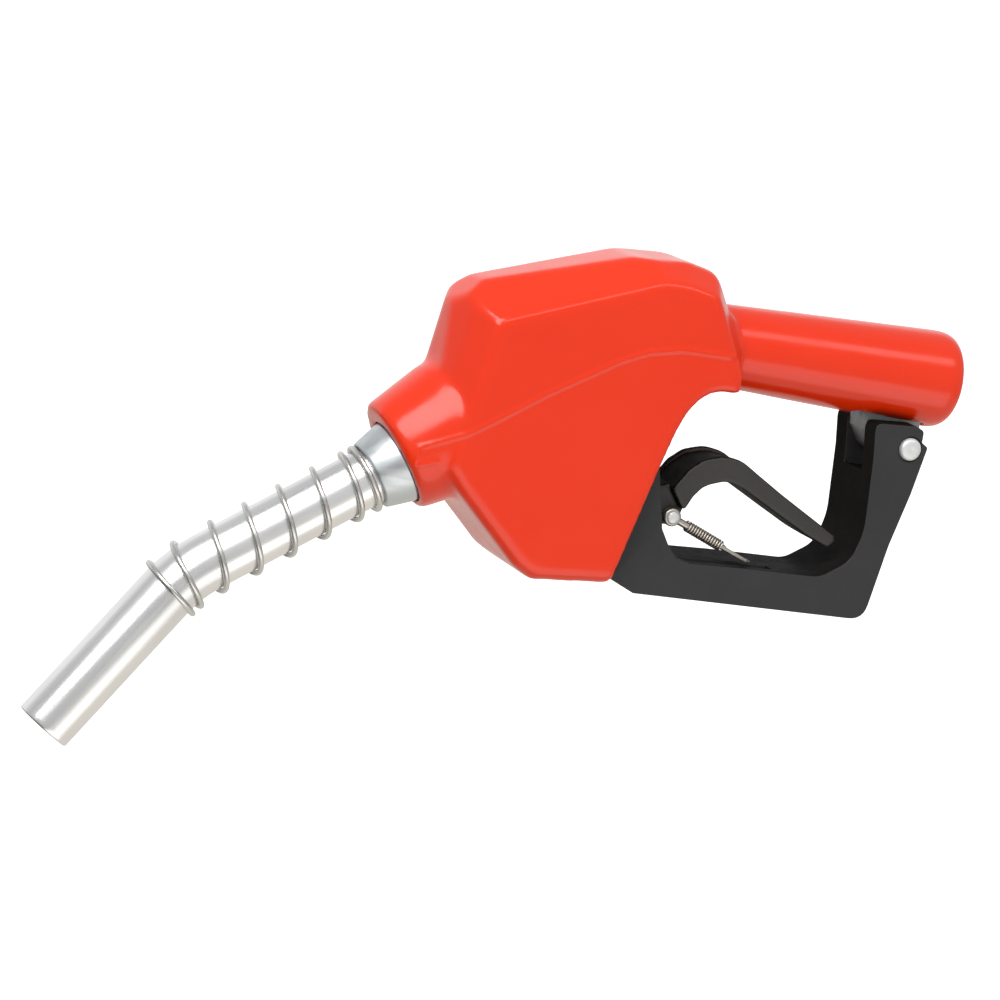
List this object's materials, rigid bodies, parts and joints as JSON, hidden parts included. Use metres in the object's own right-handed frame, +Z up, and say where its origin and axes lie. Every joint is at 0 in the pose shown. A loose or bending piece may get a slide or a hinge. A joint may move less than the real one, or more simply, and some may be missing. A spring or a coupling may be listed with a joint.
{
  "type": "fuel nozzle",
  "caption": "Automatic hand-held fuel nozzle with a covered body and handle, a bent spout with a coil spring, a squeeze lever, a hold-open clip and a hand guard.",
  "frame": {"origin": "centre of the hose inlet's mouth, on the handle's axis", "axes": "+X out of the inlet along the handle's axis, towards the hose; the spout is at -X; +Z up with the handle level; Y=0 is the nozzle's middle plane"},
  "size_m": [0.3731, 0.056, 0.2326],
  "materials": {
    "red_vinyl": "gloss",
    "cast_aluminium": "satin",
    "spout_aluminium": "polished",
    "zinc_steel": "satin",
    "spring_steel": "satin",
    "clip_steel": "satin",
    "black_plastic": "matte",
    "lever_plastic": "matte",
    "brass": "satin",
    "rubber": "matte",
    "acetal": "matte"
  },
  "bodies": {
    "nozzle": {"body_cover": "red_vinyl", "body_casting": "cast_aluminium", "inlet_gasket": "rubber", "inlet_strainer": "brass", "main_valve_seat": "brass", "main_spring": "spring_steel", "main_cap_seal": "rubber", "main_cap": "cast_aluminium", "stem_packing": "acetal", "stem_gland": "brass", "plunger_bushing": "acetal", "plunger_spring": "spring_steel", "diaphragm": "rubber", "diaphragm_cap": "cast_aluminium", "diaphragm_spring": "spring_steel", "diaphragm_cap_screws": "zinc_steel", "spout_nut": "zinc_steel", "spout_adaptor": "cast_aluminium", "spout_seals": "rubber", "spout_tube": "spout_aluminium", "vent_tube": "acetal", "attitude_cage": "brass", "check_valve_seat": "brass", "check_valve_guide": "brass", "check_valve_spring": "spring_steel", "spout_spring": "spring_steel", "hand_guard": "black_plastic", "guard_rivet": "zinc_steel", "guard_screws": "zinc_steel"},
    "poppet": {"main_valve_poppet": "brass", "main_valve_disc": "rubber", "main_valve_stem": "spring_steel"},
    "plunger": {"latch_plunger": "zinc_steel", "latch_balls": "spring_steel", "lever_pin": "spring_steel"},
    "lever": {"lever": "lever_plastic", "clip_rivet": "zinc_steel"},
    "clip": {"hold_open_clip": "clip_steel", "clip_spring": "clip_steel", "clip_washer": "clip_steel"},
    "latch": {"latch_pin": "spring_steel", "diaphragm_plate": "brass"},
    "check": {"check_valve": "acetal"},
    "ball": {"attitude_ball": "spring_steel"}
  },
  "joints": [
    {"name": "plunger_drop", "type": "slide", "parent": "nozzle", "child": "plunger", "axis": [0.342, 0, -0.9397], "range_m": [0, 0.005], "stiffness_N_per_m": 1500, "springref_m": -0.008, "deforming": ["plunger_spring"]},
    {"name": "lever_squeeze", "type": "hinge", "parent": "plunger", "child": "lever", "pos_m": [-0.156, 0, -0.07], "axis": [0, -1, 0], "range_deg": [0, 17], "stiffness_Nm_per_rad": 3, "springref_deg": -8.59},
    {"name": "clip_swing", "type": "hinge", "parent": "lever", "child": "clip", "pos_m": [-0.115, -0.0098, -0.073], "axis": [0, -1, 0], "range_deg": [0, 24]},
    {"name": "poppet_lift", "type": "slide", "parent": "nozzle", "child": "poppet", "axis": [0, 0, 1], "range_m": [0, 0.0072], "deforming": ["main_spring"]},
    {"name": "latch_lift", "type": "slide", "parent": "nozzle", "child": "latch", "axis": [-0.342, 0, 0.9397], "range_m": [0, 0.003], "stiffness_N_per_m": 400, "springref_m": -0.004, "deforming": ["diaphragm_spring", "diaphragm"]},
    {"name": "check_open", "type": "slide", "parent": "nozzle", "child": "check", "axis": [-0.8141, 0, -0.5807], "range_m": [0, 0.004], "stiffness_N_per_m": 300, "springref_m": -0.005, "deforming": ["check_valve_spring"]},
    {"name": "ball_roll", "type": "slide", "parent": "nozzle", "child": "ball", "axis": [0.5548, 0, 0.832], "range_m": [0, 0.003]}
  ],
  "couplings": [
    {"joint": "poppet_lift", "follows": "lever_squeeze", "m_per_rad": 0.024}
  ]
}
